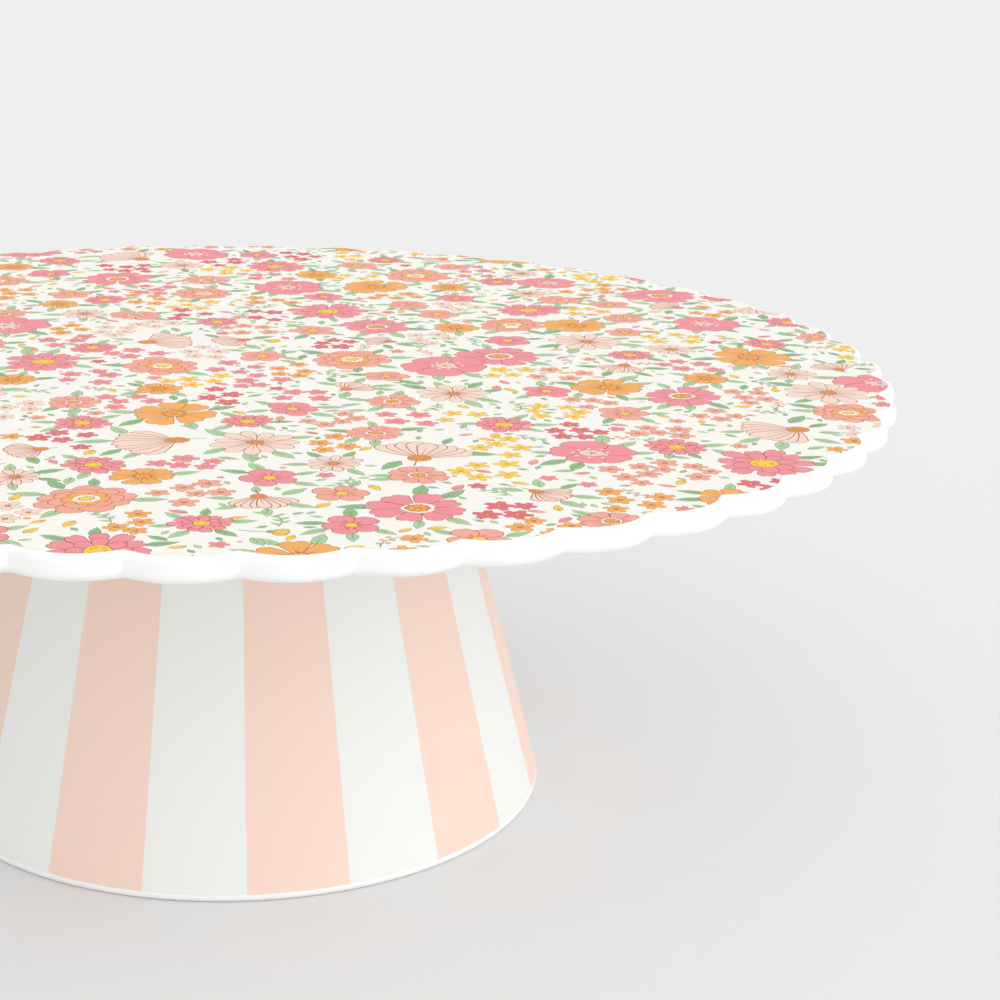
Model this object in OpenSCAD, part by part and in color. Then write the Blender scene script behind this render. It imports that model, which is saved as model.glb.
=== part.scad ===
// Two-piece cake stand: a flat plate with a lobed rim and a printed top, on a hollow
// striped foot, held together by a hand screw that is reached from underneath.
// The origin is on the table, below the middle of the foot, and +Z is up.

/* [Plate] */
// Diameter of the plate over the tips of its lobes
plate_d = 305; // [240:1:370]
// Thickness of the plate
plate_t = 5; // [4:0.1:7]
// Number of lobes round the rim
lobe_count = 48; // [36:4:60]
// Depth of the notch between two lobes
lobe_depth = 3; // [1.5:0.1:5]
// White border left between the printed foil and the rim
print_border = 1.5; // [0.5:0.1:6]

/* [Foot] */
// Height of the plate's top above the table
stand_h = 104; // [80:1:140]
// Diameter of the foot where it stands on the table
foot_d = 147; // [115:1:190]
// Diameter of the foot where it meets the plate
neck_d = 94; // [76:1:114]
// Wall thickness of the hollow foot
wall_t = 3.2; // [2.4:0.1:4.5]
// Thickness of the foot's flat crown, which carries the plate
crown_t = 4; // [3:0.1:6]
// Width of the flat ring that stands on the table
rim_w = 5; // [4.2:0.1:7]
// Radius of the round lip at the table
lip_r = 1.2; // [0.8:0.1:1.6]
// Radius of the crown's outer corner
crown_r = 1.5; // [0.5:0.1:2.5]

/* [Print] */
// Thickness of the printed foils that are moulded into the surface
foil_t = 0.3; // [0.2:0.05:0.6]
// Height of the lower edge of the striped foil
stripe_low = 1.8; // [1.7:0.1:8]
// Distance from the crown down to the upper edge of the striped foil
stripe_drop = 2; // [1.8:0.1:8]

/* [Socket under the plate] */
// Diameter of the boss under the plate
boss_d = 24; // [18:1:32]
// Height of the boss under the plate
boss_h = 7; // [5:0.5:10]
// Gap all round between the boss and its well in the crown
boss_gap = 0.3; // [0.2:0.05:0.8]
// Gap below the boss, so that the plate rests on the crown
boss_floor_gap = 0.5; // [0.3:0.1:1.5]
// Thickness of the well's floor, which the screw clamps
floor_t = 3; // [2:0.1:5]

/* [Hand screw] */
// Outer diameter of the screw's thread
stud_d = 6; // [5:0.5:8]
// Running gap between the screw and the insert's bore, on the radius
thread_gap = 0.05; // [0.03:0.01:0.09]
// Gap between the screw and what it passes through, on the radius
hole_gap = 0.3; // [0.2:0.05:0.8]
// Length of the screw inside the insert
stud_grip = 8; // [6:0.5:10]
// Length of the screw that is moulded into the knob
stud_root = 11; // [8:0.5:12]
// Outer diameter of the threaded insert
insert_d = 9.5; // [9:0.1:13]
// Length of the threaded insert
insert_l = 9; // [8:0.5:10]
// Diameter of both washers
washer_d = 18; // [14:0.5:24]
// Thickness of the rubber washer
rubber_t = 1.5; // [1:0.1:3]
// Thickness of the steel washer
steel_t = 1.2; // [0.8:0.1:2]

/* [Knob] */
// Number of the knob's lobes
knob_lobes = 5; // [3:1:8]
// Radius of each lobe of the knob
knob_lobe_r = 6; // [5:0.5:7]
// Diameter of the circle that the knob's lobes stand on
knob_pitch_d = 26; // [22:1:30]
// Height of the knob's lobed grip
knob_h = 12; // [9:0.5:16]
// Diameter of the knob's collar, which presses on the washers
collar_d = 17; // [13:0.5:20]
// Height of the knob's collar
collar_h = 3; // [2:0.5:5]

/* [Hidden] */
$fn = 96;

// A cut runs this far past the surface that it starts from.
past = 1;

// Rim: each lobe is an arc through its tip and through the notches on both sides.
tip_r = plate_d / 2;
notch_r = tip_r - lobe_depth;
lobe_step = 360 / lobe_count;
lobe_axis_r = (tip_r * tip_r - notch_r * notch_r) / (2 * (tip_r - notch_r * cos(lobe_step / 2)));
lobe_r = tip_r - lobe_axis_r;

// Heights, from the table up.
crown_z = stand_h - plate_t;
boss_z = crown_z - boss_h;
well_z = boss_z - boss_floor_gap;
clamp_z = well_z - floor_t;
rubber_z = clamp_z - rubber_t;
steel_z = rubber_z - steel_t;
grip_z = steel_z - collar_h - knob_h;
stud_z = steel_z - stud_root;
stud_top_z = boss_z + stud_grip;

// Radii.
foot_r = foot_d / 2;
neck_r = neck_d / 2;
well_r = boss_d / 2 + boss_gap;
hole_r = stud_d / 2 + hole_gap;
stripe_high = crown_z - stripe_drop;

// Outer radius of the foot at height z
function side_r(z) = foot_r + (neck_r - foot_r) * z / crown_z;

// Centres of the round lip and of the crown's round corner
lip_axis_r = side_r(lip_r) - lip_r;
crown_axis_r = side_r(crown_z - crown_r) - crown_r;

// Flat outline of the rim, moved inwards by an even border
module lobed_outline(border = 0) {
    circle(r = lobe_axis_r);
    for (i = [0 : lobe_count - 1])
        rotate((i + 0.5) * lobe_step) translate([lobe_axis_r, 0]) circle(r = lobe_r - border);
}

// Ring or disc from height z up, with a round hole through it
module ring(outer_r, inner_r, z, h) {
    translate([0, 0, z]) difference() {
        cylinder(r = outer_r, h = h);
        translate([0, 0, -past]) cylinder(r = inner_r, h = h + 2 * past);
    }
}

// Plate: lobed disc with a boss below that holds the insert, and a recess for the foil
module plate() {
    color("white") difference() {
        union() {
            translate([0, 0, crown_z]) linear_extrude(plate_t) lobed_outline();
            translate([0, 0, boss_z]) cylinder(d = boss_d, h = boss_h + past);
        }
        translate([0, 0, stand_h - foil_t]) linear_extrude(foil_t + past) lobed_outline(print_border);
        translate([0, 0, boss_z - past]) cylinder(d = insert_d, h = insert_l + past);
    }
}

// Printed foil, flush with the plate's top
module floral_foil() {
    color("mistyrose")
        translate([0, 0, stand_h - foil_t]) linear_extrude(foil_t) lobed_outline(print_border);
}

// Brass insert, moulded into the boss
module threaded_insert() {
    color("goldenrod") ring(insert_d / 2, stud_d / 2 + thread_gap, boss_z, insert_l);
}

// Quarter disc that rounds an outer corner of the foot, below or above its centre
module round_corner(r, x, z, low) {
    translate([x, z]) intersection() {
        circle(r = r);
        translate([0, low]) square(r);
    }
}

// Half section of the foot: round lip, sloping side with a recess for the foil, flat
// crown with a round corner, and the well that takes the boss
module pedestal_section() {
    polygon([
        [foot_r - rim_w, 0],
        [lip_axis_r, 0],
        [side_r(lip_r), lip_r],
        [side_r(stripe_low), stripe_low],
        [side_r(stripe_low) - foil_t, stripe_low],
        [side_r(stripe_high) - foil_t, stripe_high],
        [side_r(stripe_high), stripe_high],
        [side_r(crown_z - crown_r), crown_z - crown_r],
        [crown_axis_r, crown_z],
        [well_r, crown_z],
        [well_r, well_z],
        [hole_r, well_z],
        [hole_r, clamp_z],
        [well_r + wall_t, clamp_z],
        [well_r + wall_t, crown_z - crown_t],
        [side_r(crown_z - crown_t) - wall_t, crown_z - crown_t],
        [side_r(rim_w) - wall_t, rim_w]
    ]);
    round_corner(lip_r, lip_axis_r, lip_r, -lip_r);
    round_corner(crown_r, crown_axis_r, crown_z - crown_r, 0);
}

// Hollow foot
module pedestal() {
    color("white") rotate_extrude() pedestal_section();
}

// Striped foil, flush with the foot's sloping side
module stripe_foil() {
    color("peachpuff") rotate_extrude() polygon([
        [side_r(stripe_low) - foil_t, stripe_low],
        [side_r(stripe_low), stripe_low],
        [side_r(stripe_high), stripe_high],
        [side_r(stripe_high) - foil_t, stripe_high]
    ]);
}

// Soft washer, against the foot
module rubber_washer() {
    color("dimgray") ring(washer_d / 2, hole_r, rubber_z, rubber_t);
}

// Steel washer, against the knob's collar
module steel_washer() {
    color("silver") ring(washer_d / 2, hole_r, steel_z, steel_t);
}

// Knob: lobed grip with a collar on top, and a blind hole that holds the screw
module knob_grip() {
    color("whitesmoke") difference() {
        union() {
            translate([0, 0, grip_z]) linear_extrude(knob_h) {
                circle(d = knob_pitch_d);
                for (i = [0 : knob_lobes - 1])
                    rotate(i * 360 / knob_lobes) translate([knob_pitch_d / 2, 0]) circle(r = knob_lobe_r);
            }
            translate([0, 0, grip_z + knob_h / 2]) cylinder(d = collar_d, h = collar_h + knob_h / 2);
        }
        translate([0, 0, stud_z]) cylinder(d = stud_d, h = stud_root + past);
    }
}

// Steel screw, moulded into the knob; its thread is drawn as its outer cylinder
module knob_stud() {
    color("silver") translate([0, 0, stud_z]) cylinder(d = stud_d, h = stud_top_z - stud_z);
}

plate();
floral_foil();
threaded_insert();
pedestal();
stripe_foil();
rubber_washer();
steel_washer();
knob_grip();
knob_stud();
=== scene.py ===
"""Cake stand: lobed plate with a floral print, on a striped hollow foot with a hand screw.

Lengths are in metres, apart from the print, which is drawn in millimetres.
"""
import cmath
import math
import random
import bpy
from mathutils import Matrix, Vector
from mathutils.geometry import delaunay_2d_cdt


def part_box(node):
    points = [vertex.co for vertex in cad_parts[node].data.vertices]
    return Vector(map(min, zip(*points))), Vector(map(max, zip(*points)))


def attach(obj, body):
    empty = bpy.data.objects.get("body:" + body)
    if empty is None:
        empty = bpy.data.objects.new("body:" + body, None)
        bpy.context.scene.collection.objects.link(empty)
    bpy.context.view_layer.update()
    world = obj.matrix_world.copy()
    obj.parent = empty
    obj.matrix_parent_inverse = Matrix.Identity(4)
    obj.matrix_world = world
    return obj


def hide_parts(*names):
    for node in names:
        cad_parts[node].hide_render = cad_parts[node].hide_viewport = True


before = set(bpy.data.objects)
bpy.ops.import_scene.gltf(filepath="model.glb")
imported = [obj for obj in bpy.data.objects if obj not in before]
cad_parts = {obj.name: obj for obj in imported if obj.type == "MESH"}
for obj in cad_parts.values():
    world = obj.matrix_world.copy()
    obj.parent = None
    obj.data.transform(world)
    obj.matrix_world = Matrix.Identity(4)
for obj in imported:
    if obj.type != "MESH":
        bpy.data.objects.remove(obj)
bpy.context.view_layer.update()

MM = 0.001
FULL_TURN = 2 * math.pi


# ---------------------------------------------------------------- sizes from the frame

def reach(node, low=0.0):
    """Largest distance from the axis of a node's surface, from a height up."""
    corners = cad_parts[node].data.vertices
    return max(math.hypot(v.co.x, v.co.y) for v in corners if low <= v.co.z)


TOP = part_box("floral_foil")[1].z
FOIL_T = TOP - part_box("floral_foil")[0].z
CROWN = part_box("pedestal")[1].z
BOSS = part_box("plate")[0].z
TIP_R = reach("plate")
PRINT_BORDER = TIP_R - reach("floral_foil")
LOBES = 48
NOTCH = 3.4 * MM
NOTCH_SOFTNESS = 0.75 * MM
POINTS_PER_LOBE = 12

STRIPE_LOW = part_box("stripe_foil")[0].z
STRIPE_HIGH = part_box("stripe_foil")[1].z
STRIPE_LOW_R = reach("stripe_foil")
STRIPE_HIGH_R = reach("stripe_foil", STRIPE_HIGH - MM)
STRIPES = 20
STRIPE_TURN = math.radians(0.8)

INSERT_R = reach("threaded_insert")
INSERT_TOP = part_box("threaded_insert")[1].z
STUD_R = reach("knob_stud")
STUD_LOW, STUD_HIGH = (corner.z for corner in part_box("knob_stud"))
GRIP_LOW, GRIP_HIGH = (corner.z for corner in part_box("knob_grip"))
GRIP_R = reach("knob_grip")
WASHER_R = reach("steel_washer")
THREAD_PITCH = 1 * MM


# ---------------------------------------------------------------- materials

# Noise scales of the finishes, in waves per metre.
PRESS_RIPPLE = 260.0
PRESS_GRAIN = 2400.0
SPARK_PITS = 3800.0
PLATING_CLOUD = 420.0
BRASS_CLOUD = 900.0
TURNING_MARKS = 5200.0
RUBBER_DUST = 1500.0

# The glaze adds this much white, and the studio light brightens what is under it.
GLAZE_WHITE = 0.04
STUDIO_GAIN = 1.06
WHITE = (1.0, 1.0, 1.0, 1.0)


class Value:
    """A number inside a material. Its operators add Math nodes."""

    def __init__(self, finish, socket):
        self.finish = finish
        self.socket = socket

    def __add__(self, other):
        return self.finish.math("ADD", self, other)

    def __radd__(self, other):
        return self.finish.math("ADD", other, self)

    def __mul__(self, other):
        return self.finish.math("MULTIPLY", self, other)

    def __rmul__(self, other):
        return self.finish.math("MULTIPLY", other, self)


class Finish:
    """A material that is being put together around its Principled shader."""

    def __init__(self, name):
        self.material = bpy.data.materials.new(name)
        self.material.use_nodes = True
        self.tree = self.material.node_tree
        self.shader = self.tree.nodes["Principled BSDF"]

    def plug(self, socket, value):
        if isinstance(value, Value):
            self.tree.links.new(value.socket, socket)
        else:
            socket.default_value = value

    def node(self, kind, settings, sockets, output=0):
        made = self.tree.nodes.new(kind)
        for key, value in settings.items():
            setattr(made, key, value)
        for key, value in sockets.items():
            self.plug(made.inputs[key], value)
        return Value(self, made.outputs[output])

    def math(self, operation, first, second):
        return self.node("ShaderNodeMath", {"operation": operation}, {0: first, 1: second})

    def place(self):
        return self.node("ShaderNodeTexCoord", {}, {}, "Object")

    def noise(self, scale, detail=2.0):
        sockets = {"Vector": self.place(), "Scale": scale, "Detail": detail}
        return self.node("ShaderNodeTexNoise", {}, sockets, "Fac")

    def bump(self, height, distance):
        sockets = {"Height": height, "Distance": distance, "Strength": 1.0}
        self.set("Normal", self.node("ShaderNodeBump", {}, sockets, "Normal"))

    def set(self, socket, value):
        self.plug(self.shader.inputs[socket], value)


def tint(red, green, blue):
    """Linear colour of a colour given as the usual 0 to 255 display numbers."""
    steps = [channel / 255 for channel in (red, green, blue)]
    linear = [s / 12.92 if s <= 0.04045 else ((s + 0.055) / 1.055) ** 2.4 for s in steps]
    return (*linear, 1.0)


def under_glaze(colour):
    """Tone of an ink whose look under the glaze is the given display colour."""
    return (*[max(0.0, (c - GLAZE_WHITE) / STUDIO_GAIN) for c in tint(*colour)[:3]], 1.0)


def melamine(name, colour):
    """Moulded melamine: satin, with the faint waviness that a press mould leaves."""
    finish = Finish(name)
    finish.set("Base Color", colour)
    ripple = finish.noise(PRESS_RIPPLE)
    grain = finish.noise(PRESS_GRAIN, 3.0)
    finish.set("Roughness", 0.46 + ripple * 0.08 + grain * 0.06)
    finish.set("Specular IOR Level", 0.32)
    finish.bump(ripple * 0.7 + grain * 0.1, 0.03 * MM)
    return finish.material


def moulded_plastic(name, colour):
    """Polypropylene with a spark-eroded mould texture."""
    finish = Finish(name)
    finish.set("Base Color", colour)
    pits = finish.noise(SPARK_PITS, 4.0)
    finish.set("Roughness", 0.48 + pits * 0.16)
    finish.bump(pits, 0.05 * MM)
    return finish.material


def plated_steel(name):
    """Zinc plate with fine turning marks round the axis."""
    finish = Finish(name)
    finish.set("Metallic", 1.0)
    finish.set("Base Color", tint(200, 202, 204))
    cloud = finish.noise(PLATING_CLOUD, 4.0)
    finish.set("Roughness", 0.24 + cloud * 0.2)
    finish.bump(finish.noise(TURNING_MARKS), 0.01 * MM)
    return finish.material


def turned_brass(name):
    """Brass from the lathe, slightly clouded."""
    finish = Finish(name)
    finish.set("Metallic", 1.0)
    finish.set("Base Color", tint(214, 172, 98))
    finish.set("Roughness", 0.22 + finish.noise(BRASS_CLOUD, 4.0) * 0.18)
    finish.bump(finish.noise(TURNING_MARKS), 0.01 * MM)
    return finish.material


def black_rubber(name):
    """Matte rubber with a little dust."""
    finish = Finish(name)
    finish.set("Base Color", tint(34, 34, 35))
    dust = finish.noise(RUBBER_DUST, 5.0)
    finish.set("Roughness", 0.62 + dust * 0.25)
    finish.bump(dust, 0.04 * MM)
    return finish.material


def studio_floor(name):
    """Plain pale paper."""
    finish = Finish(name)
    finish.set("Base Color", tint(231, 231, 231))
    finish.set("Roughness", 0.9)
    finish.set("Specular IOR Level", 0.1)
    return finish.material


# ---------------------------------------------------------------- modelling by hand

# Corners this close together are merged.
TOUCHING = 0.001 * MM


def begin():
    """Leaves nothing selected and object mode on, so that a new piece starts alone."""
    if bpy.context.object and bpy.context.object.mode != "OBJECT":
        bpy.ops.object.mode_set(mode="OBJECT")
    bpy.ops.object.select_all(action="DESELECT")


def alone(piece):
    """Makes this piece the only one selected."""
    begin()
    piece.select_set(True)
    bpy.context.view_layer.objects.active = piece


def named(name):
    """Names the piece that was just added."""
    piece = bpy.context.active_object
    piece.name = name
    piece.data.name = name
    return piece


def close_up():
    """Merges doubles, drops loose bits and turns the faces outwards, in edit mode."""
    bpy.ops.mesh.select_all(action="SELECT")
    bpy.ops.mesh.remove_doubles(threshold=TOUCHING)
    bpy.ops.mesh.delete_loose()
    bpy.ops.mesh.select_all(action="SELECT")
    bpy.ops.mesh.normals_make_consistent(inside=False)
    bpy.ops.object.mode_set(mode="OBJECT")


def turned(name, section, steps):
    """Turns a closed half section, given as (radius, height) points, about the axis."""
    begin()
    bpy.ops.mesh.primitive_circle_add(vertices=len(section), radius=MM)
    piece = named(name)
    for corner, (radius, height) in zip(piece.data.vertices, section):
        corner.co = Vector((radius, 0.0, height))
    bpy.ops.object.mode_set(mode="EDIT")
    bpy.ops.mesh.select_all(action="SELECT")
    bpy.ops.mesh.spin(steps=steps, angle=FULL_TURN, center=(0, 0, 0), axis=(0, 0, 1))
    close_up()
    return piece


def ringed(name, outline, rings, circles):
    """Builds a solid from stacked rings: the outline is drawn once and filled, and then
    extruded, lifted and scaled to each (reach, height) in turn. Rings whose number is in
    circles become true circles."""
    begin()
    first_r, first_z = rings[0]
    bpy.ops.mesh.primitive_circle_add(vertices=len(outline), radius=first_r)
    piece = named(name)
    widest = max(abs(point) for point in outline)
    for corner, point in zip(piece.data.vertices, outline):
        corner.co = Vector((point.real, point.imag, 0.0)) * (first_r / widest)
        corner.co.z = first_z
    bpy.ops.object.mode_set(mode="EDIT")
    bpy.ops.mesh.select_all(action="SELECT")
    bpy.ops.mesh.edge_face_add()
    last_r, last_z = first_r, first_z
    for number, (ring_r, ring_z) in enumerate(rings[1:], start=1):
        lift = {"value": (0, 0, ring_z - last_z)}
        bpy.ops.mesh.extrude_region_move(TRANSFORM_OT_translate=lift)
        factor = ring_r / last_r
        bpy.ops.transform.resize(value=(factor, factor, 1), center_override=(0, 0, ring_z))
        if number in circles:
            bpy.ops.transform.tosphere(value=1.0)
        last_r, last_z = ring_r, ring_z
    close_up()
    return piece


def arc(centre, radius, start, end, points):
    """(radius, height) points along a round corner of a section, angles in degrees."""
    angles = [math.radians(start + (end - start) * k / (points - 1)) for k in range(points)]
    return [(centre[0] + radius * math.cos(a), centre[1] + radius * math.sin(a)) for a in angles]


def smooth(piece, degrees):
    """Smooth shading, apart from edges sharper than the angle."""
    alone(piece)
    bpy.ops.object.shade_smooth_by_angle(angle=math.radians(degrees))


def lobed_reach(angle, lobes, axis_r, lobe_r, core_r, softness):
    """Distance from the axis to a rim of round lobes on a round core, with soft notches."""
    step = FULL_TURN / lobes
    reaches = [core_r]
    nearest = math.floor(angle / step) + 0.5
    for lobe in (nearest - 1, nearest, nearest + 1):
        off = angle - lobe * step
        chord = lobe_r ** 2 - (axis_r * math.sin(off)) ** 2
        if chord > 0:
            reaches.append(axis_r * math.cos(off) + math.sqrt(chord))
    most = max(reaches)
    return most + softness * math.log(sum(math.exp((r - most) / softness) for r in reaches))


def plate_outline(border=0.0):
    """Rim of the plate as complex numbers, moved inwards by an even border."""
    notch_r = TIP_R - NOTCH
    half = math.cos(math.pi / LOBES)
    axis_r = (TIP_R ** 2 - notch_r ** 2) / (2 * (TIP_R - notch_r * half))
    lobe_r = TIP_R - axis_r - border
    count = LOBES * POINTS_PER_LOBE
    angles = [FULL_TURN * k / count for k in range(count)]
    return [cmath.rect(lobed_reach(a, LOBES, axis_r, lobe_r, axis_r, NOTCH_SOFTNESS), a)
            for a in angles]


# ---------------------------------------------------------------- plate

RIM_TOP_ROUND = 1.3 * MM
RIM_LOW_ROUND = 1.9 * MM
BOSS_R = 12 * MM
BOSS_CHAMFER = 0.6 * MM


def make_plate():
    """Disc with a rounded lobed rim, a recess for the foil, and the boss underneath."""
    recess_r = TIP_R - PRINT_BORDER
    rings = [(recess_r, TOP - FOIL_T), (recess_r, TOP)]
    rings += arc((TIP_R - RIM_TOP_ROUND, TOP - RIM_TOP_ROUND), RIM_TOP_ROUND, 90, 0, 6)
    rings += arc((TIP_R - RIM_LOW_ROUND, CROWN + RIM_LOW_ROUND), RIM_LOW_ROUND, 0, -90, 7)
    rings += [(0.75 * TIP_R, CROWN), (0.3 * TIP_R, CROWN)]
    first_round = len(rings)
    rings += [(2 * BOSS_R, CROWN), (BOSS_R, CROWN), (BOSS_R, BOSS + BOSS_CHAMFER)]
    rings += [(BOSS_R - BOSS_CHAMFER, BOSS), (INSERT_R, BOSS), (INSERT_R, INSERT_TOP)]
    plate = ringed("plate_body", plate_outline(), rings, range(first_round, len(rings)))
    smooth(plate, 40)
    return plate


# ---------------------------------------------------------------- floral print

PRINT_R = (TIP_R - PRINT_BORDER) / MM
LINE = 0.19
STEM_STEPS = 5

# Flowers take up this many times their own radius.
ROOM = 1.02
# Their radius, how many are tried, and how far two of one kind stay apart.
BIG = {"size": 9.2, "count": 62, "apart": 42}
MIDDLE = {"size": 5.7, "count": 105, "apart": 27}
BUNCHES = 118
BUNCH_INKS = ("rose", "apricot", "coral", "lemon", "raspberry", "apricot", "blush")
BUNCH_OF = 6
BUNCH_SPREAD = 6.6
BLOSSOM = 2.55
# Leaves start at this share of their flower's radius.
TUCK = 0.84

# What the flat triangulation gives back: whole faces between outlines, or triangles.
WHOLE_FACES = 4
ALL_TRIANGLES = 0
OUTLINES_TOUCH = 1e-4
BORDERS_TOUCH = 1e-5
# Border corners this close to a straight line are taken out.
STRAIGHT = 0.04

INKS = {
    "paper": (254, 252, 245),
    "blush": (253, 224, 208),
    "rose": (248, 152, 162),
    "raspberry": (234, 118, 130),
    "coral": (250, 176, 156),
    "apricot": (250, 180, 98),
    "honey": (236, 154, 76),
    "lemon": (253, 212, 80),
    "sage": (180, 214, 166),
    "fern": (150, 194, 142),
    "sprig_line": (122, 140, 92),
    "petal_line": (176, 98, 68),
}

NOTCHED = [(0.16, 0.12), (0.5, 0.66), (0.82, 1.0), (0.98, 0.66), (1.0, 0.3), (0.94, 0.0)]
ROUND = [(0.14, 0.14), (0.4, 0.76), (0.68, 1.0), (0.92, 0.66), (1.0, 0.0)]
BROAD = [(0.10, 0.16), (0.38, 0.8), (0.68, 1.0), (0.9, 0.84), (1.0, 0.42), (0.97, 0.0)]
THIN = [(0.16, 0.2), (0.5, 0.76), (0.8, 1.0), (0.95, 0.6), (1.0, 0.0)]
ALMOND = [(0.0, 0.14), (0.28, 0.94), (0.62, 0.82), (1.0, 0.0)]
SLIP = [(0.0, 0.3), (0.42, 1.0), (1.0, 0.0)]

hand = random.Random(48)


def wobble(amount=0.08):
    """Factor near 1, as drawing by hand gives."""
    return 1 + hand.uniform(-amount, amount)


def grown(points, width):
    """Outline moved outwards by an even width."""
    moved = []
    for k, point in enumerate(points):
        along = points[(k + 1) % len(points)] - points[k - 1]
        moved.append(point - 1j * width * along / (abs(along) or 1.0))
    return moved


def drawn(ink, points, line="petal_line", width=LINE):
    """One shape in its ink, with a thin line round it."""
    return [(line, grown(points, width)), (ink, points)]


def placed(shapes, place, turn=1.0):
    """Shapes turned and scaled about their origin, then moved to a place."""
    return [(ink, [place + point * turn for point in points]) for ink, points in shapes]


def disc(radius, count, centre=0, roughness=0.06):
    """Round spot with a hand-drawn edge of a few corners."""
    return [centre + cmath.rect(radius * wobble(roughness), FULL_TURN * k / count)
            for k in range(count)]


def leaf_shape(profile, length, width):
    """Petal or leaf along the first axis, from its foot at 0 to its tip."""
    side = [complex(x * length, y * width / 2 * wobble()) for x, y in profile[:-1]]
    tip = complex(profile[-1][0] * length, 0)
    return [point.conjugate() for point in side] + [tip] + side[::-1]


def hair(start, end, width):
    """Fine line that tapers to nothing."""
    along = end - start
    off = 0.5j * width * along / abs(along)
    return [start - off, end, start + off]


def bent(start, end, bow, width):
    """Stem that bows to one side."""
    along = end - start
    middle = []
    for k in range(STEM_STEPS + 1):
        share = k / STEM_STEPS
        middle.append(start + along * k / STEM_STEPS + 4j * bow * along * share * (1 - share))
    off = 0.5j * width * along / abs(along)
    return [point - off for point in middle] + [point + off for point in middle[::-1]]


def ring_of_petals(ink, profile, count, length, width, veins=0, vein="petal_line"):
    """Petals side by side round the middle, each with a fan of fine veins."""
    shapes = []
    first = hand.uniform(0, FULL_TURN)
    for k in range(count):
        turn = cmath.rect(wobble(0.09), first + FULL_TURN * (k + hand.uniform(-0.1, 0.1)) / count)
        petal = drawn(ink, leaf_shape(profile, length, width))
        for v in range(veins):
            fan = (v - (veins - 1) / 2) * 0.30 * width / length
            reach_out = length * hand.uniform(0.55, 0.8)
            petal.append((vein, hair(0.26 * length, cmath.rect(reach_out, fan), 0.18)))
        shapes += placed(petal, 0, turn)
    return shapes


def stamens(ink, radius, count, dot):
    """Ring of small dots."""
    shapes = []
    for k in range(count):
        place = cmath.rect(radius * wobble(0.14), FULL_TURN * (k + hand.random() * 0.5) / count)
        shapes.append((ink, disc(dot, 4, place)))
    return shapes


def cosmos(size, ink):
    shapes = ring_of_petals(ink, NOTCHED, 8, size, 0.60 * size, 3, "raspberry")
    shapes.append(("paper", disc(0.34 * size, 14, 0, 0.12)))
    shapes += drawn("honey", disc(0.24 * size, 10))
    shapes += stamens("lemon", 0.14 * size, 6, 0.045 * size)
    return shapes + stamens("petal_line", 0.27 * size, 10, 0.03 * size)


def peony(size, ink):
    shapes = ring_of_petals(ink, ROUND, 9, size, 0.62 * size, 1)
    shapes += ring_of_petals(ink, ROUND, 7, 0.72 * size, 0.54 * size, 1)
    shapes += ring_of_petals("apricot", ROUND, 5, 0.48 * size, 0.44 * size)
    shapes.append(("paper", disc(0.27 * size, 12, 0, 0.14)))
    shapes += drawn("lemon", disc(0.15 * size, 8))
    return shapes + stamens("petal_line", 0.21 * size, 7, 0.025 * size)


def marigold(size, ink):
    shapes = ring_of_petals(ink, NOTCHED, 7, size, 0.68 * size, 2)
    shapes += drawn("honey", disc(0.26 * size, 12, 0, 0.1))
    shapes += stamens("lemon", 0.17 * size, 8, 0.045 * size)
    return shapes + stamens("petal_line", 0.3 * size, 9, 0.03 * size)


def star_daisy(size, ink):
    shapes = ring_of_petals(ink, THIN, 11, size, 0.36 * size, 1)
    shapes += drawn("honey", disc(0.19 * size, 9))
    shapes += stamens("petal_line", 0.12 * size, 6, 0.035 * size)
    for k in range(12):
        turn = cmath.rect(1.0, FULL_TURN * (k + hand.random() * 0.4) / 12)
        shapes.append(("petal_line", hair(0.19 * size * turn, 0.42 * size * turn, 0.22)))
    return shapes


def poppy(size, ink):
    shapes = ring_of_petals(ink, BROAD, 5, size, 0.98 * size, 3, "raspberry")
    shapes.append(("blush", disc(0.26 * size, 10, 0, 0.2)))
    for k in range(9):
        turn = cmath.rect(wobble(0.2), FULL_TURN * k / 9)
        shapes.append(("petal_line", hair(0, 0.36 * size * turn, 0.2)))
        shapes += drawn("paper", disc(0.055 * size, 5, 0.38 * size * turn), "petal_line", 0.09)
    return shapes


def fan_daisy(size, ink):
    """Daisy seen from the side, with its petals in a fan."""
    shapes = [("sprig_line", bent(0, -0.9 * size, hand.uniform(-0.1, 0.1), 0.3))]
    for k in (0, 8, 1, 7, 2, 6, 3, 5, 4):
        turn = cmath.rect(1.25 * wobble(0.05), (k - 4) * 0.235)
        petal = drawn(ink, leaf_shape(THIN, size, 0.34 * size))
        petal.append(("petal_line", hair(0.2 * size, 0.8 * size, 0.18)))
        shapes += placed(petal, -0.3 * size, turn)
    shapes += drawn("honey", disc(0.24 * size, 10, -0.3 * size))
    shapes += placed(stamens("petal_line", 0.13 * size, 7, 0.03 * size), -0.3 * size)
    return placed(shapes, -0.15 * size)


def zinnia(size, ink):
    shapes = ring_of_petals(ink, NOTCHED, 11, size, 0.40 * size)
    shapes += ring_of_petals(ink, THIN, 8, 0.66 * size, 0.34 * size)
    shapes += drawn("lemon", disc(0.3 * size, 10, 0, 0.1))
    return shapes + stamens("honey", 0.17 * size, 7, 0.05 * size)


def primrose(size, ink):
    shapes = ring_of_petals(ink, ROUND, 5, size, 0.84 * size, 2)
    shapes += drawn("lemon", disc(0.22 * size, 7))
    return shapes + stamens("petal_line", 0.36 * size, 5, 0.04 * size)


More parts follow.
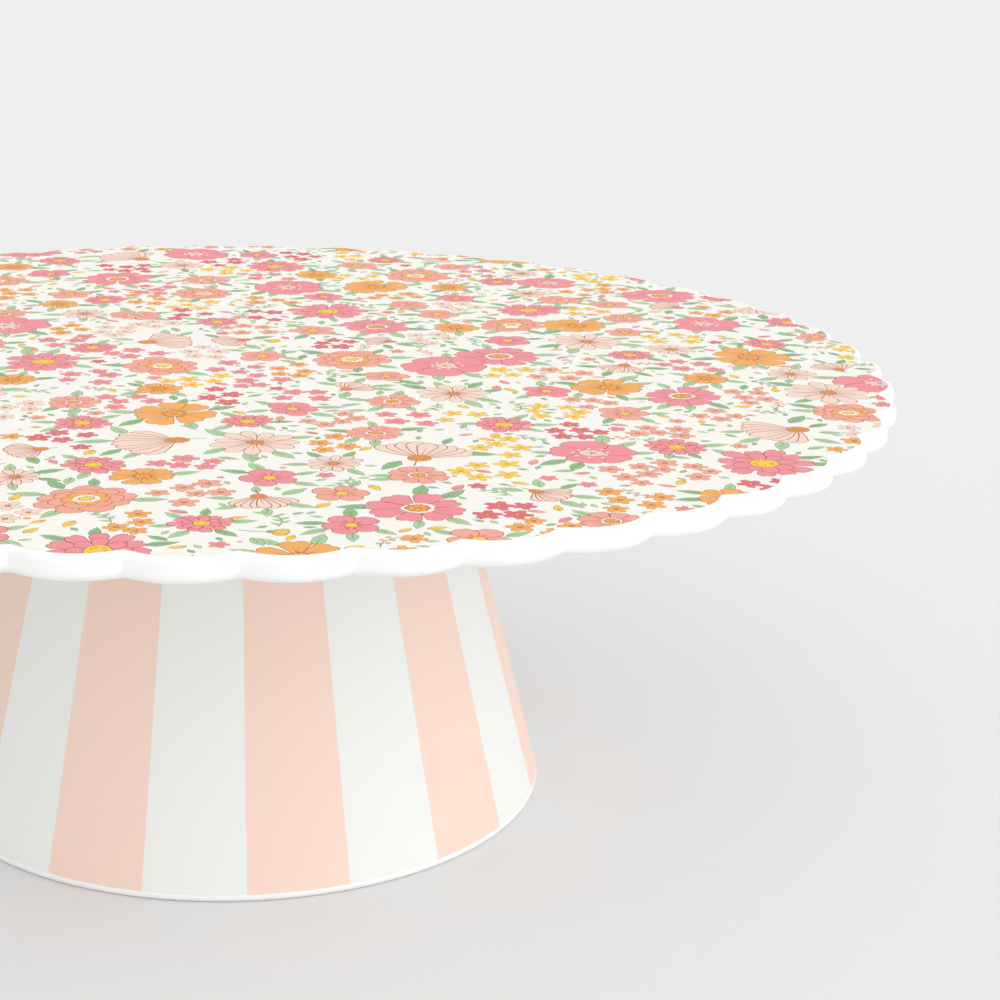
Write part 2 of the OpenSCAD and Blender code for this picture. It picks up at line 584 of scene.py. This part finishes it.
def blossom(size, ink):
    """Small five-lobed blossom: one outline, with a line between each two lobes."""
    outline = []
    for k in range(15):
        swell = (0.58, 0.98, 0.98)[k % 3]
        outline.append(cmath.rect(size * swell * wobble(0.07), FULL_TURN * k / 15))
    shapes = drawn(ink, outline, "petal_line", 0.13)
    for k in range(5):
        turn = cmath.rect(1.0, FULL_TURN * k / 5)
        shapes.append(("petal_line", hair(0.6 * size * turn, 0.15 * size * turn, 0.16)))
    heart = "lemon" if ink in ("rose", "raspberry") else "honey"
    return shapes + [("petal_line", disc(0.24 * size, 5)), (heart, disc(0.15 * size, 4))]


def starlet(size, ink):
    """Small blossom with five pointed petals."""
    outline = []
    for k in range(20):
        swell = (0.42, 0.84, 1.05, 0.84)[k % 4]
        outline.append(cmath.rect(size * swell * wobble(0.07), FULL_TURN * k / 20))
    shapes = drawn(ink, outline, "petal_line", 0.09)
    return shapes + [("honey", disc(0.2 * size, 6))]


def leaf(length, ink):
    """Almond leaf with a midrib and two veins."""
    shapes = drawn(ink, leaf_shape(ALMOND, length, 0.40 * length), "sprig_line", 0.13)
    shapes.append(("sprig_line", hair(0, 0.8 * length, 0.22)))
    for along, side in ((0.3, 1), (0.45, -1)):
        vein = cmath.rect(0.2 * length, side * 0.7)
        shapes.append(("sprig_line", hair(along * length, along * length + vein, 0.16)))
    return shapes


def tulip(size, ink):
    """Closed bud on a short stem with a green cup."""
    shapes = [("sprig_line", bent(-0.2 * size, -1.5 * size, 0.08, 0.28))]
    for turn in (0.42, -0.42, 0.0):
        shapes += placed(drawn(ink, leaf_shape(ROUND, size, 0.5 * size)), 0, cmath.rect(1.0, turn))
    for turn in (0.5, -0.5):
        cup = drawn("fern", leaf_shape(ALMOND, 0.5 * size, 0.24 * size), "sprig_line", 0.1)
        shapes += placed(cup, -0.14 * size, cmath.rect(1.0, turn))
    return placed(shapes, -0.3 * size)


def sprig(length, ink, berries):
    """Bowed stem with small leaves, or buds, on both sides."""
    bow = hand.choice((-0.14, 0.14))
    shapes = [("sprig_line", bent(0, length, bow, 0.26))]
    for k in range(1, 7):
        share = k / 6.5
        place = length * (share + 4j * bow * share * (1 - share))
        turn = cmath.rect(1.0, (0.85 if k % 2 else -0.85))
        if berries:
            shapes.append(("sprig_line", hair(place, place + 0.14 * length * turn, 0.2)))
            bud = drawn(ink, disc(0.07 * length, 5), "petal_line", 0.1)
            shapes += placed(bud, place + 0.17 * length * turn)
        else:
            small = leaf_shape(SLIP, 0.32 * length, 0.13 * length)
            shapes += placed(drawn(ink, small, "sprig_line", 0.1), place, turn)
    return shapes


class Bed:
    """The round area that the motifs fill, with the discs that they already take up."""

    CELL = 12.0

    def __init__(self):
        self.taken = {}
        self.kinds = []

    def cell(self, place):
        """Square of the grid that a place lies in."""
        return int(place.real // self.CELL), int(place.imag // self.CELL)

    def free(self, place, radius, overlap=0.0):
        """True when a disc here touches none that is taken."""
        column, row = self.cell(place)
        for c in (column - 1, column, column + 1):
            for r in (row - 1, row, row + 1):
                for other, other_r in self.taken.get((c, r), ()):
                    if abs(place - other) < radius + other_r - overlap:
                        return False
        return True

    def take(self, place, radius):
        self.taken.setdefault(self.cell(place), []).append((place, radius))

    def spot(self, radius, tries=60):
        """A free place for a disc of this radius, or None."""
        for _ in range(tries):
            out = (PRINT_R + 2) * math.sqrt(hand.random())
            place = cmath.rect(out, hand.uniform(0, FULL_TURN))
            if self.free(place, radius):
                return place
        return None

    def away(self, kind, place, distance):
        """True when no motif of the same kind is near."""
        return all(k != kind or abs(p - place) > distance for k, p in self.kinds)


def scatter(bed, motifs, size, count, apart):
    """Stamps motifs of one size at free places and returns their shapes and places."""
    shapes, places = [], []
    for _ in range(count):
        radius = size * wobble(0.12)
        place = bed.spot(radius * ROOM)
        if place is None:
            continue
        kinds = hand.sample(range(len(motifs)), len(motifs))
        kind = next((k for k in kinds if bed.away((size, k), place, apart)), kinds[0])
        bed.kinds.append(((size, kind), place))
        bed.take(place, radius * ROOM)
        places.append((place, radius))
        make, ink = motifs[kind]
        flat = hand.uniform(0.86, 1.0)
        turn = cmath.rect(1.0, hand.uniform(0, FULL_TURN))
        motif = make(radius, ink)
        squeezed = [(i, [complex(p.real, p.imag * flat) for p in ps]) for i, ps in motif]
        shapes += placed(squeezed, place, turn)
    return shapes, places


def leaves_round(bed, places, count, lengths):
    """Leaves that come out from under the flowers wherever there is room."""
    shapes = []
    for place, radius in places:
        first = hand.uniform(0, FULL_TURN)
        for k in range(count):
            turn = cmath.rect(1.0, first + FULL_TURN * (k + hand.uniform(-0.3, 0.3)) / count)
            length = hand.uniform(*lengths)
            start = place + turn * radius * TUCK
            thick = 0.15 * length
            far = [start + turn * length * share for share in (0.5, 0.8)]
            if not all(bed.free(point, thick) for point in far):
                continue
            for point in far:
                bed.take(point, thick)
            ink = hand.choice(("sage", "sage", "fern"))
            lean = turn * cmath.rect(1.0, hand.uniform(-0.3, 0.3))
            shapes += placed(leaf(length, ink), start, lean)
    return shapes


def bunch(bed, make, ink):
    """A loose bunch of small blossoms of one colour."""
    shapes = []
    centre = bed.spot(1.9 * BLOSSOM)
    if centre is None:
        return shapes
    for _ in range(BUNCH_OF):
        for _ in range(14):
            out = BUNCH_SPREAD * math.sqrt(hand.random())
            place = centre + cmath.rect(out, hand.uniform(0, FULL_TURN))
            radius = BLOSSOM * wobble(0.15)
            if bed.free(place, 0.92 * radius, 0.25):
                bed.take(place, 0.92 * radius)
                turn = cmath.rect(1.0, hand.uniform(0, FULL_TURN))
                shapes += placed(make(radius, ink), place, turn)
                break
    return shapes


def fillers(bed, count, radius, make):
    """Small motifs in the gaps, each one made anew, until there is no room left."""
    shapes = []
    for _ in range(count):
        place = bed.spot(radius, 40)
        if place is None:
            break
        bed.take(place, radius)
        shapes += placed(make(), place, cmath.rect(1.0, hand.uniform(0, FULL_TURN)))
    return shapes


def small_leaf():
    length = hand.uniform(3.4, 5.2)
    return placed(leaf(length, hand.choice(("sage", "sage", "fern"))), -0.5 * length)


def loose_petal():
    length = hand.uniform(3.0, 4.4)
    ink = hand.choice(("lemon", "lemon", "coral", "rose"))
    shapes = drawn(ink, leaf_shape(ALMOND, length, 0.46 * length), "petal_line", 0.12)
    shapes.append(("petal_line", hair(0, 0.6 * length, 0.18)))
    return placed(shapes, -0.5 * length)


def tiny_leaf():
    shape = leaf_shape(SLIP, 2.4, 1.15)
    return placed(drawn(hand.choice(("sage", "fern")), shape, "sprig_line", 0.1), -1.2)


def bud():
    ink = hand.choice(("rose", "coral", "raspberry", "blush", "apricot"))
    return drawn(ink, disc(hand.uniform(0.4, 0.7), 5), "petal_line", 0.1)


def any_of(*inks):
    return hand.choice(inks)


def floral_shapes():
    """Every shape of the print, from the first one printed to the last."""
    bed = Bed()
    big = [(cosmos, "rose"), (peony, "coral"), (marigold, "apricot"), (star_daisy, "blush"),
           (poppy, "rose"), (fan_daisy, "blush"), (zinnia, "rose")]
    middle = [(primrose, "coral"), (marigold, "apricot"), (zinnia, "rose"), (star_daisy, "blush"),
              (fan_daisy, "blush"), (cosmos, "coral"), (primrose, "rose")]
    big_shapes, big_places = scatter(bed, big, **BIG)
    middle_shapes, middle_places = scatter(bed, middle, **MIDDLE)
    bunches = []
    for k in range(BUNCHES):
        ink = BUNCH_INKS[k % len(BUNCH_INKS)]
        bunches += bunch(bed, starlet if ink == "lemon" else blossom, ink)
    leaves = leaves_round(bed, big_places, 8, (5.0, 8.0))
    leaves += leaves_round(bed, middle_places, 6, (4.5, 6.5))
    tulips = fillers(bed, 110, 2.2, lambda: tulip(3.6, any_of("rose", "coral", "lemon")))
    sprigs = fillers(bed, 90, 2.0, lambda: placed(sprig(7.0, "sage", False), -3.3))
    sprigs += fillers(bed, 60, 2.0, lambda: placed(sprig(6.5, "coral", True), -3.0))
    singles = fillers(bed, 170, 1.9, lambda: blossom(1.9, any_of("rose", "coral", "raspberry")))
    small = fillers(bed, 300, 1.5, small_leaf) + fillers(bed, 190, 1.4, loose_petal)
    tiny = fillers(bed, 500, 0.95, tiny_leaf)
    buds = fillers(bed, 520, 0.7, bud)
    return (sprigs + leaves + small + tiny + buds + tulips + singles + bunches
            + middle_shapes + big_shapes)


def area(points):
    """Area inside an outline, positive when it runs anticlockwise."""
    return 0.5 * sum((a.conjugate() * b).imag for a, b in zip(points, points[1:] + points[:1]))


def visible_borders(shapes):
    """Where two inks meet, seen from above: the corners, and for each directed border
    line the ink on its left. The ink outside the first shape is None. A shape that
    spills past its own outline is left out."""
    corners, faces = [], []
    for _, points in shapes:
        faces.append(list(range(len(corners), len(corners) + len(points))))
        corners += [Vector((point.real, point.imag)) for point in points]
    flat, _, pieces, _, _, sources = delaunay_2d_cdt(corners, [], faces, WHOLE_FACES,
                                                     OUTLINES_TOUCH, True)
    covered = [0.0] * len(shapes)
    for piece, source in zip(pieces, sources):
        part = area([complex(*flat[v]) for v in piece])
        for k in source:
            covered[k] += part
    spilled = {k for k, (_, points) in enumerate(shapes) if covered[k] > 1.1 * area(points) + 0.02}
    left = {}
    for piece, source in zip(pieces, sources):
        if 0 in source:
            ink = shapes[max(k for k in source if k not in spilled)][0]
            for a, b in zip(piece, piece[1:] + piece[:1]):
                left[a, b] = ink
    borders = {}
    for (a, b), ink in left.items():
        beyond = left.get((b, a))
        if beyond != ink:
            borders[a, b] = ink
            borders[b, a] = beyond
    return flat, borders


def straightened(flat, borders):
    """Takes out the border corners that lie on a nearly straight line."""
    near = {}
    for a, b in borders:
        near.setdefault(a, set()).add(b)
    for v in list(near):
        if len(near[v]) != 2:
            continue
        p, q = near[v]
        along = flat[q] - flat[p]
        off = flat[v] - flat[p]
        if (p, q) in borders or abs(along.cross(off)) > STRAIGHT * along.length:
            continue
        if along.dot(off) <= 0 or off.length >= along.length:
            continue
        borders[p, q] = borders.pop((p, v))
        borders[q, p] = borders.pop((q, v))
        del borders[v, q], borders[v, p], near[v]
        near[p].remove(v)
        near[q].remove(v)
        near[p].add(q)
        near[q].add(p)
    return borders


def inked_triangles(flat, borders):
    """Triangles between the border lines, with the ink of each."""
    used = sorted({a for a, _ in borders})
    order = {v: k for k, v in enumerate(used)}
    lines = [(a, b) for a, b in borders if a < b]
    ends = [(order[a], order[b]) for a, b in lines]
    points = [flat[v] for v in used]
    spots, edges, triangles, _, sources, _ = delaunay_2d_cdt(points, ends, [], ALL_TRIANGLES,
                                                             BORDERS_TOUCH, True)
    left = {}
    for (a, b), source in zip(edges, sources):
        if source:
            p, q = lines[source[0]]
            if (spots[b] - spots[a]).dot(flat[q] - flat[p]) < 0:
                p, q = q, p
            left[a, b] = borders[p, q]
            left[b, a] = borders[q, p]
    sides = [list(zip(t, t[1:] + t[:1])) for t in triangles]
    owner = {side: k for k, pair in enumerate(sides) for side in pair}
    inks = {}
    for start, pair in enumerate(sides):
        known = [left[side] for side in pair if side in left]
        if start in inks or not known:
            continue
        inks[start] = known[0]
        queue = [start]
        while queue:
            for a, b in sides[queue.pop()]:
                other = owner.get((b, a))
                if (a, b) not in left and other is not None and other not in inks:
                    inks[other] = known[0]
                    queue.append(other)
    kept = [k for k, ink in inks.items() if ink]
    return spots, [triangles[k] for k in kept], [inks[k] for k in kept]


def make_print(inks):
    """One closed sheet of the foil's thickness, with a face for every bit of ink."""
    paper = [point / MM for point in plate_outline(PRINT_BORDER)]
    flat, borders = visible_borders([("paper", paper)] + floral_shapes())
    spots, faces, face_inks = inked_triangles(flat, straightened(flat, borders))
    rim = {}
    taken = {side for face in faces for side in zip(face, face[1:] + face[:1])}
    for a, b in taken:
        if (b, a) not in taken:
            rim[a] = b
    loop = [next(iter(rim))]
    while rim[loop[-1]] != loop[0]:
        loop.append(rim[loop[-1]])
    corners = [(v.x * MM, v.y * MM, TOP) for v in spots]
    low = {v: len(corners) + k for k, v in enumerate(loop)}
    corners += [(spots[v].x * MM, spots[v].y * MM, TOP - FOIL_T) for v in loop]
    walls = [(rim[v], v, low[v], low[rim[v]]) for v in loop]
    underside = [low[v] for v in reversed(loop)]
    mesh = bpy.data.meshes.new("floral_print")
    mesh.from_pydata(corners, [], faces + walls + [underside])
    names = list(INKS)
    for name in names:
        mesh.materials.append(inks[name])
    for face, ink in zip(mesh.polygons, face_inks):
        face.material_index = names.index(ink)
    sheet = bpy.data.objects.new("floral_print", mesh)
    bpy.context.scene.collection.objects.link(sheet)
    alone(sheet)
    bpy.ops.object.mode_set(mode="EDIT")
    bpy.ops.mesh.select_all(action="SELECT")
    bpy.ops.mesh.delete_loose()
    bpy.ops.object.mode_set(mode="OBJECT")
    return sheet


# ---------------------------------------------------------------- foot

FOOT_RIM_W = 5 * MM
FOOT_RIM_H = 5 * MM
FOOT_RIM_EDGE = 0.6 * MM
FLARE_H = 8 * MM
WALL = 3.2 * MM
CROWN_T = 4 * MM
LIP_ROUND = 1.2 * MM
CROWN_ROUND = 1.5 * MM
INNER_ROUND = 6 * MM
WELL_R = 12.3 * MM
WELL_EDGE = 0.4 * MM
WELL_CORNER = 1 * MM
WELL_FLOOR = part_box("rubber_washer")[1].z
WELL_TOP = WELL_FLOOR + 3 * MM
SCREW_HOLE_R = 3.3 * MM


def side_r(height):
    """Outer radius of the foot's sloping side at a height."""
    share = (height - STRIPE_LOW) / (STRIPE_HIGH - STRIPE_LOW)
    return STRIPE_LOW_R + (STRIPE_HIGH_R - STRIPE_LOW_R) * share


def make_foot():
    """Hollow cone with a round lip, a recess for the foil, a flat crown and a well."""
    lean = math.degrees(math.atan((side_r(0) - side_r(CROWN)) / CROWN))
    lip = (side_r(LIP_ROUND) - LIP_ROUND, LIP_ROUND)
    shoulder = (side_r(CROWN - CROWN_ROUND) - CROWN_ROUND, CROWN - CROWN_ROUND)
    ceiling = CROWN - CROWN_T
    inner_corner = (side_r(ceiling - INNER_ROUND) - WALL - INNER_ROUND, ceiling - INNER_ROUND)
    rim_inner = side_r(0) - FOOT_RIM_W
    section = [(rim_inner + FOOT_RIM_EDGE, 0)]
    section += arc(lip, LIP_ROUND, -90, lean, 9)
    section += [
        (side_r(STRIPE_LOW), STRIPE_LOW),
        (side_r(STRIPE_LOW) - FOIL_T, STRIPE_LOW),
        (side_r(STRIPE_HIGH) - FOIL_T, STRIPE_HIGH),
        (side_r(STRIPE_HIGH), STRIPE_HIGH),
    ]
    section += arc(shoulder, CROWN_ROUND, lean, 90, 7)
    section += [
        (WELL_R + WELL_EDGE, CROWN),
        (WELL_R, CROWN - WELL_EDGE),
        (WELL_R, WELL_TOP),
        (SCREW_HOLE_R, WELL_TOP),
        (SCREW_HOLE_R, WELL_FLOOR),
        (WELL_R + WALL - WELL_CORNER, WELL_FLOOR),
        (WELL_R + WALL, WELL_FLOOR + WELL_CORNER),
        (WELL_R + WALL, ceiling),
    ]
    section += arc(inner_corner, INNER_ROUND, 90, lean, 8)
    section += [(side_r(FLARE_H) - WALL, FLARE_H), (rim_inner, FOOT_RIM_H)]
    section += [(rim_inner, FOOT_RIM_EDGE)]
    foot = turned("foot_body", section, 180)
    smooth(foot, 30)
    return foot


def make_stripes(peach, white):
    """Thin wrap round the side, in an even number of equal stripes."""
    edge = 0.05 * MM
    section = [
        (side_r(STRIPE_LOW) - FOIL_T, STRIPE_LOW),
        (side_r(STRIPE_LOW) - edge, STRIPE_LOW),
        (side_r(STRIPE_LOW + edge), STRIPE_LOW + edge),
        (side_r(STRIPE_HIGH - edge), STRIPE_HIGH - edge),
        (side_r(STRIPE_HIGH) - edge, STRIPE_HIGH),
        (side_r(STRIPE_HIGH) - FOIL_T, STRIPE_HIGH),
    ]
    wrap = turned("striped_wrap", section, STRIPES * 10)
    wrap.data.materials.append(peach)
    wrap.data.materials.append(white)
    width = FULL_TURN / STRIPES
    for face in wrap.data.polygons:
        from_front = (math.atan2(face.center.y, face.center.x) + math.pi / 2) % FULL_TURN
        face.material_index = int(from_front / width) % 2
    wrap.data.transform(Matrix.Rotation(STRIPE_TURN, 4, "Z"))
    smooth(wrap, 30)
    return wrap


# ---------------------------------------------------------------- screw, insert, washers

THREAD_DEPTH = 0.6 * MM
THREAD_ROW = 0.125 * MM
THREAD_STEPS = 48
THREAD_GAP = 0.05 * MM


def threaded_bar(name, section, root_r, crest_r, low, high):
    """Turned piece whose surface at the crest radius is cut into a helical thread."""
    piece = turned(name, section, THREAD_STEPS)
    for corner in piece.data.vertices:
        x, y, z = corner.co
        radius = math.hypot(x, y)
        if abs(radius - crest_r) > 0.02 * MM or not low <= z <= high:
            continue
        phase = (z / THREAD_PITCH - math.atan2(y, x) / FULL_TURN) % 1.0
        flank = min(1.0, 2.4 * abs(phase - 0.5))
        fade = min(1.0, (z - low) / THREAD_PITCH, (high - z) / THREAD_PITCH)
        factor = (crest_r + (root_r - crest_r) * flank * fade) / radius
        corner.co = Vector((x * factor, y * factor, z))
    return piece


def rows(start, end):
    """Heights that are close enough together to carry the thread."""
    count = max(2, round(abs(end - start) / THREAD_ROW))
    return [start + (end - start) * k / count for k in range(count + 1)]


def make_stud():
    """Steel screw with a tapered tip, threaded where it stands out of the knob."""
    tip = 0.7 * MM
    heel = 0.3 * MM
    section = [(0, STUD_LOW), (STUD_R - heel, STUD_LOW)]
    section += [(STUD_R, z) for z in rows(STUD_LOW + heel, STUD_HIGH - tip)]
    section += [(STUD_R - tip, STUD_HIGH), (0, STUD_HIGH)]
    stud = threaded_bar("threaded_stud", section, STUD_R - THREAD_DEPTH, STUD_R,
                        GRIP_HIGH - MM, STUD_HIGH - tip)
    smooth(stud, 50)
    return stud


def make_insert():
    """Brass insert with a threaded bore that widens at both ends."""
    bore_r = STUD_R + THREAD_GAP
    mouth = 0.5 * MM
    edge = 0.2 * MM
    section = [(INSERT_R, BOSS + edge), (INSERT_R, INSERT_TOP), (bore_r + mouth, INSERT_TOP)]
    section += [(bore_r, z) for z in rows(INSERT_TOP - mouth, BOSS + mouth)]
    section += [(bore_r + mouth, BOSS), (INSERT_R - edge, BOSS)]
    insert = threaded_bar("brass_insert", section, bore_r + THREAD_DEPTH, bore_r,
                          BOSS + mouth, INSERT_TOP - mouth)
    smooth(insert, 50)
    return insert


def make_washer(name, node, edge):
    """Washer with round edges, in its node's place."""
    low, high = (corner.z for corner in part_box(node))
    outer = WASHER_R - edge
    inner = SCREW_HOLE_R + edge
    section = arc((outer, low + edge), edge, -90, 0, 4)
    section += arc((outer, high - edge), edge, 0, 90, 4)
    section += arc((inner, high - edge), edge, 90, 180, 4)
    section += arc((inner, low + edge), edge, 180, 270, 4)
    washer = turned(name, section, 96)
    smooth(washer, 50)
    return washer


KNOB_LOBES = 5
KNOB_LOBE_R = 6 * MM
KNOB_SOFTNESS = 0.8 * MM
COLLAR_R = 8.5 * MM
COLLAR_H = 3 * MM
KNOB_EDGE = 2 * MM


def make_knob():
    """Lobed grip with soft edges, a dished underside, a collar, and a hole for the stud."""
    axis_r = GRIP_R - KNOB_LOBE_R
    count = KNOB_LOBES * 28
    outline = []
    for k in range(count):
        angle = FULL_TURN * k / count
        lobe = lobed_reach(angle + math.pi / KNOB_LOBES, KNOB_LOBES, axis_r, KNOB_LOBE_R,
                           axis_r * 0.97, KNOB_SOFTNESS)
        outline.append(cmath.rect(lobe, angle))
    shelf = GRIP_HIGH - COLLAR_H
    rings = [(0.25 * GRIP_R, GRIP_LOW + 1.2 * MM), (0.5 * GRIP_R, GRIP_LOW + 0.9 * MM)]
    rings += [(0.68 * GRIP_R, GRIP_LOW + 0.2 * MM)]
    rings += arc((GRIP_R - KNOB_EDGE, GRIP_LOW + KNOB_EDGE), KNOB_EDGE, -90, 0, 6)
    rings += arc((GRIP_R - KNOB_EDGE, shelf - KNOB_EDGE), KNOB_EDGE, 0, 90, 6)
    first_round = len(rings)
    rings += [(COLLAR_R + 0.8 * MM, shelf), (COLLAR_R, shelf + 0.8 * MM)]
    rings += [(COLLAR_R, GRIP_HIGH - 0.4 * MM), (COLLAR_R - 0.4 * MM, GRIP_HIGH)]
    rings += [(STUD_R, GRIP_HIGH), (STUD_R, STUD_LOW)]
    knob = ringed("hand_knob", outline, rings, range(first_round, len(rings)))
    smooth(knob, 40)
    return knob


# ---------------------------------------------------------------- put together

body_white = melamine("melamine_white", tint(247, 247, 246))
stripe_white = melamine("stripe_white", tint(238, 239, 236))
stripe_peach = melamine("stripe_peach", tint(246, 216, 202))

plate = make_plate()
plate.data.materials.append(body_white)
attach(plate, "plate")
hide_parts("plate")

inks = {name: melamine("ink_" + name, under_glaze(colour)) for name, colour in INKS.items()}
print_sheet = make_print(inks)
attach(print_sheet, "plate")
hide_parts("floral_foil")

foot = make_foot()
foot.data.materials.append(body_white)
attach(foot, "foot")
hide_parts("pedestal")

wrap = make_stripes(stripe_peach, stripe_white)
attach(wrap, "foot")
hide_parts("stripe_foil")

steel = plated_steel("zinc_plated_steel")
stud = make_stud()
stud.data.materials.append(steel)
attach(stud, "knob")
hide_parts("knob_stud")

knob = make_knob()
knob.data.materials.append(moulded_plastic("knob_plastic", tint(226, 224, 220)))
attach(knob, "knob")
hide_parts("knob_grip")

insert = make_insert()
insert.data.materials.append(turned_brass("turned_brass"))
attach(insert, "plate")
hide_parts("threaded_insert")

flat_washer = make_washer("flat_washer", "steel_washer", 0.2 * MM)
flat_washer.data.materials.append(steel)
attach(flat_washer, "washers")
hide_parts("steel_washer")

soft_washer = make_washer("soft_washer", "rubber_washer", 0.3 * MM)
soft_washer.data.materials.append(black_rubber("black_rubber"))
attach(soft_washer, "washers")
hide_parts("rubber_washer")


# ---------------------------------------------------------------- studio

FLOOR_SIZE = 24.0
SKY_STRENGTH = 0.88


def make_floor():
    begin()
    bpy.ops.mesh.primitive_plane_add(size=FLOOR_SIZE, location=(0, 0, 0))
    floor = named("studio_floor")
    floor.data.materials.append(studio_floor("studio_floor"))


def window_light(name, direction, strength, spread):
    """Very soft light from one side, the same all over the floor."""
    begin()
    bpy.ops.object.light_add(type="SUN")
    lamp = bpy.context.active_object
    lamp.name = name
    lamp.data.energy = strength
    lamp.data.angle = math.radians(spread)
    lamp.rotation_euler = (-Vector(direction)).to_track_quat("-Z", "Y").to_euler()


def make_sky():
    """Even white light from all round."""
    world = bpy.data.worlds.new("soft_room")
    world.use_nodes = True
    background = world.node_tree.nodes["Background"]
    background.inputs["Color"].default_value = WHITE
    background.inputs["Strength"].default_value = SKY_STRENGTH
    bpy.context.scene.world = world


CAMERA_BACK = 0.4961
CAMERA_UP = 0.2165
CAMERA_PITCH = 0.2880
CAMERA_YAW = 0.1261
CAMERA_ROLL = 0.0272
CAMERA_LENS = 77.42


def make_camera():
    """Camera in front, a little above the plate, looking to the right of the stand."""
    data = bpy.data.cameras.new("camera")
    data.lens = CAMERA_LENS
    data.sensor_width = 36.0
    data.clip_end = 60.0
    camera = bpy.data.objects.new("camera", data)
    bpy.context.scene.collection.objects.link(camera)
    turn = Matrix.Rotation(-CAMERA_YAW, 4, "Z")
    tilt = Matrix.Rotation(math.pi / 2 - CAMERA_PITCH, 4, "X")
    roll = Matrix.Rotation(CAMERA_ROLL, 4, "Z")
    camera.matrix_world = Matrix.Translation((0, -CAMERA_BACK, CAMERA_UP)) @ turn @ tilt @ roll
    bpy.context.scene.camera = camera


make_floor()
make_sky()
window_light("window_light", direction=(0.8, -0.35, 0.45), strength=0.95, spread=60)
window_light("fill_light", direction=(-0.15, -0.9, 0.4), strength=0.45, spread=80)
make_camera()
bpy.context.scene.view_settings.view_transform = "Standard"
